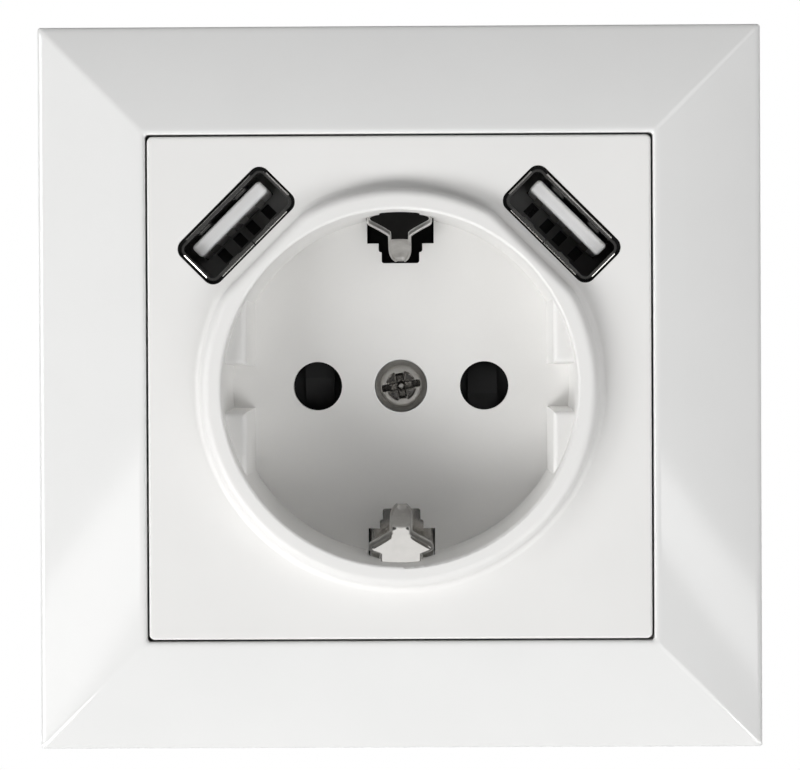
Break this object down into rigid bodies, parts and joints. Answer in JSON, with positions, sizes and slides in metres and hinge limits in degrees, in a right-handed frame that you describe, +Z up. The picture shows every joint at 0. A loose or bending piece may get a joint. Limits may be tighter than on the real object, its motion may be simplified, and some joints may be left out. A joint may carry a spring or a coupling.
{
  "type": "usb wall socket",
  "caption": "Flush wall socket with a round earthed two-pin well, charging ports set slantwise in the upper corners and a square bevelled cover frame.",
  "frame": {"origin": "middle of the two box-screw slots on the wall plane, on the socket's own axis", "axes": "+Y into the wall, so -Y faces the room; +Z up with the charging ports on top; +X to the right seen from the room"},
  "size_m": [0.08, 0.0449, 0.08],
  "materials": {
    "white_gloss": "smooth gloss, pure white moulding",
    "white_insulator": "satin white insulator",
    "black_plastic": "fine matt black moulding",
    "dark_grey_plastic": "satin dark grey moulding",
    "nickel": "bright nickel-plated spring strip and drawn sheet",
    "zinc_steel": "bright zinc-plated steel",
    "spring_steel": "drawn spring wire",
    "brass": "plain stamped brass",
    "green_board": "lacquered glass-fibre board",
    "ferrite": "sintered dark ferrite",
    "yellow_tape": "insulating tape wrap",
    "can_sleeve": "shrink sleeve over an aluminium can",
    "resistor_coat": "fired coating"
  },
  "bodies": {
    "socket": {"cover_frame": "white_gloss", "centre_plate": "white_gloss", "port_tongue_left": "white_insulator", "port_tongue_right": "white_insulator", "base_body": "black_plastic", "rear_cover": "black_plastic", "port_spacer_left": "black_plastic", "port_spacer_right": "black_plastic", "bridge_rectifier": "black_plastic", "earth_strap": "nickel", "port_shell_left": "nickel", "port_shell_right": "nickel", "cover_screw": "zinc_steel", "housing_screws": "zinc_steel", "clamp_plates": "zinc_steel", "terminal_screws": "zinc_steel", "support_ring": "zinc_steel", "ring_screws": "zinc_steel", "claw_pins": "zinc_steel", "shutter_spring": "spring_steel", "contact_line": "brass", "contact_neutral": "brass", "link_pins": "brass", "port_contacts_left": "brass", "port_contacts_right": "brass", "port_board": "green_board", "main_board": "green_board", "transformer_core": "ferrite", "transformer_coil": "yellow_tape", "input_capacitor": "can_sleeve", "output_capacitor": "can_sleeve", "fuse_resistor": "resistor_coat"},
    "shutter": {"shutter_rotor": "dark_grey_plastic"},
    "claw_left": {"claw_left": "zinc_steel"},
    "claw_right": {"claw_right": "zinc_steel"},
    "nut_left": {"claw_nut_left": "zinc_steel"},
    "nut_right": {"claw_nut_right": "zinc_steel"},
    "screw_left": {"claw_screw_left": "zinc_steel"},
    "screw_right": {"claw_screw_right": "zinc_steel"}
  },
  "joints": [
    {"name": "shutter_turn", "type": "hinge", "parent": "socket", "child": "shutter", "pos_m": [0, 0.0095, 0], "axis": [0, 1, 0], "range_deg": [0, 40], "stiffness_Nm_per_rad": 0.0015, "springref_deg": -17.19, "deforming": ["shutter_spring"]},
    {"name": "claw_left_spread", "type": "hinge", "parent": "socket", "child": "claw_left", "pos_m": [-0.0226, 0.003, 0], "axis": [0, 0, 1], "range_deg": [0, 15]},
    {"name": "nut_left_draw", "type": "slide", "parent": "socket", "child": "nut_left", "axis": [0, -1, 0], "range_m": [0, 0.0004]},
    {"name": "screw_left_turn", "type": "hinge", "parent": "socket", "child": "screw_left", "pos_m": [-0.0258, 0, 0], "axis": [0, 1, 0], "range_deg": [0, 283]},
    {"name": "claw_right_spread", "type": "hinge", "parent": "socket", "child": "claw_right", "pos_m": [0.0226, 0.003, 0], "axis": [0, 0, -1], "range_deg": [0, 15]},
    {"name": "nut_right_draw", "type": "slide", "parent": "socket", "child": "nut_right", "axis": [0, -1, 0], "range_m": [0, 0.0004]},
    {"name": "screw_right_turn", "type": "hinge", "parent": "socket", "child": "screw_right", "pos_m": [0.0258, 0, 0], "axis": [0, 1, 0], "range_deg": [0, 283]}
  ],
  "couplings": [
    {"joint": "nut_left_draw", "follows": "claw_left_spread", "m_per_rad": 0.0015},
    {"joint": "screw_left_turn", "follows": "claw_left_spread", "ratio": 18.85},
    {"joint": "nut_right_draw", "follows": "claw_right_spread", "m_per_rad": 0.0015},
    {"joint": "screw_right_turn", "follows": "claw_right_spread", "ratio": 18.85}
  ]
}
